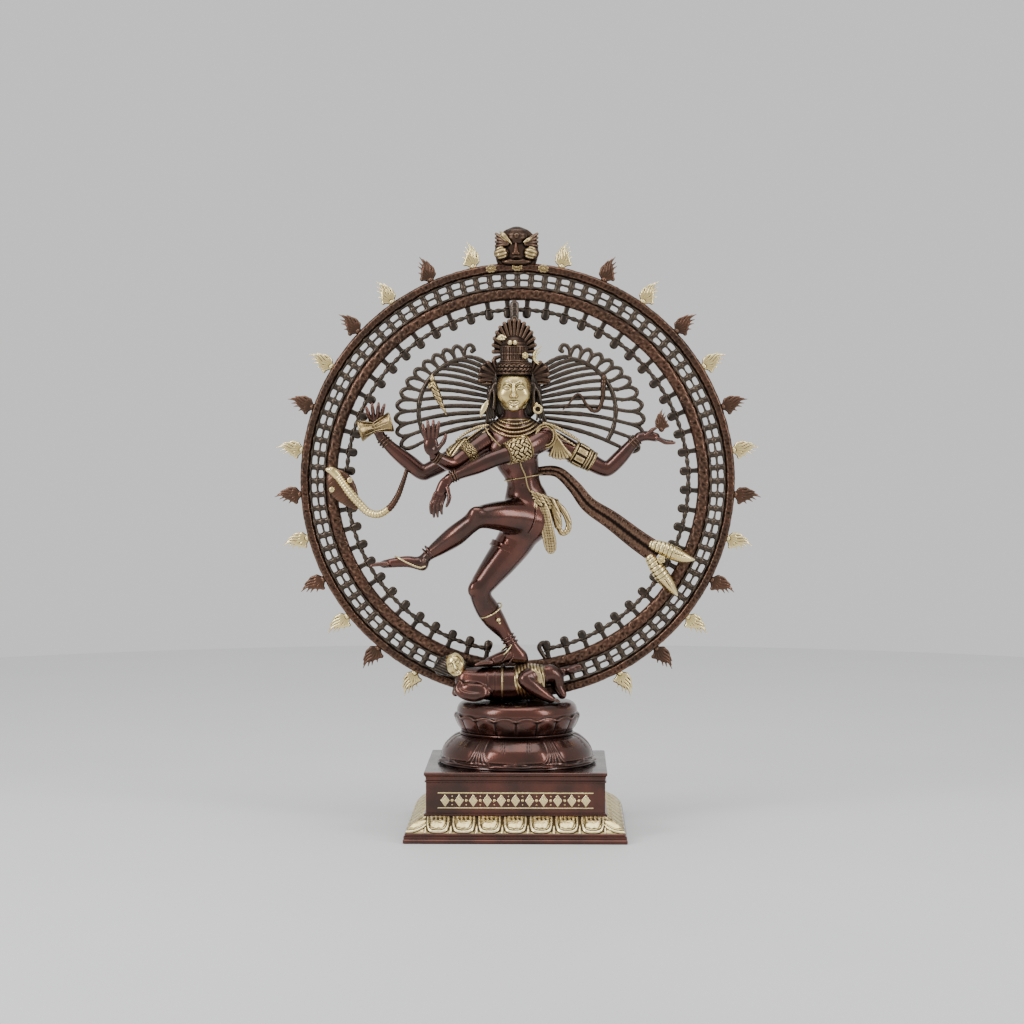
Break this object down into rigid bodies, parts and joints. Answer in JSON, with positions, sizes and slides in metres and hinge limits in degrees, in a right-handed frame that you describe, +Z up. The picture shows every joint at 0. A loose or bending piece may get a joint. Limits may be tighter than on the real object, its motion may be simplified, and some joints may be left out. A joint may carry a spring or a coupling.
{
  "type": "nataraja statue",
  "caption": "Cast brass dancing figure on a demon, lotus and plinth, in a lift-off ring of flames with a lattice and a hanging fringe.",
  "frame": {"origin": "centre of the plinth's underside", "axes": "+Z up, the statue faces -Y, +X towards the statue's own left hand"},
  "size_m": [0.7427, 0.308, 0.9107],
  "materials": {
    "copper_bronze": "polished dark copper-brown patina",
    "gilt_brass": "pale gilt, dark in the recesses",
    "dark_bronze": "dark greenish bronze patina",
    "rim_bronze": "antique brown, rubbed reddish on the high spots",
    "steel": "plain"
  },
  "bodies": {
    "base": {"plinth_foot": "copper_bronze", "plinth_petal_band": "gilt_brass", "plinth_petals": "gilt_brass", "plinth_box": "copper_bronze", "plinth_cornice": "copper_bronze", "ornament_band": "gilt_brass", "lotus_foot": "copper_bronze", "lotus_lower": "copper_bronze", "lotus_collar": "copper_bronze", "lotus_upper": "copper_bronze", "draw_bolts": "steel", "bolt_nuts": "steel", "demon_body": "copper_bronze", "demon_head": "dark_bronze", "demon_face": "gilt_brass", "demon_loincloth": "gilt_brass", "standing_leg": "copper_bronze", "raised_leg": "copper_bronze", "torso": "copper_bronze", "head": "dark_bronze", "face": "gilt_brass", "headdress": "copper_bronze", "feather_fan": "copper_bronze", "crest_stem": "dark_bronze", "crown_ornaments": "gilt_brass", "crescent_moon": "gilt_brass", "side_leaves": "copper_bronze", "ear_ornaments": "gilt_brass", "hair_fan_left": "dark_bronze", "hair_fan_right": "dark_bronze", "river_goddess": "gilt_brass", "hair_snake": "dark_bronze", "rear_right_arm": "copper_bronze", "drum": "gilt_brass", "front_right_arm": "copper_bronze", "front_left_arm": "copper_bronze", "rear_left_arm": "copper_bronze", "hand_flame": "gilt_brass", "armlets": "gilt_brass", "bracelets": "gilt_brass", "anklets": "gilt_brass", "necklaces": "gilt_brass", "waist_cord": "gilt_brass", "waist_cloth": "gilt_brass", "stole": "rim_bronze", "stole_heads": "gilt_brass", "arm_cobra": "gilt_brass", "shoulder_tassels": "gilt_brass"},
    "aureole": {"aureole_outer_rim": "rim_bronze", "aureole_lattice": "dark_bronze", "aureole_inner_rim": "rim_bronze", "aureole_fringe": "dark_bronze", "flames_gilt": "gilt_brass", "flames_copper": "rim_bronze", "monster_mask": "gilt_brass", "rim_rosettes": "gilt_brass", "aureole_tenons": "rim_bronze"}
  },
  "joints": [
    {"name": "aureole_lift", "type": "slide", "parent": "base", "child": "aureole", "axis": [0, 0, 1], "range_m": [0, 0.05]}
  ]
}
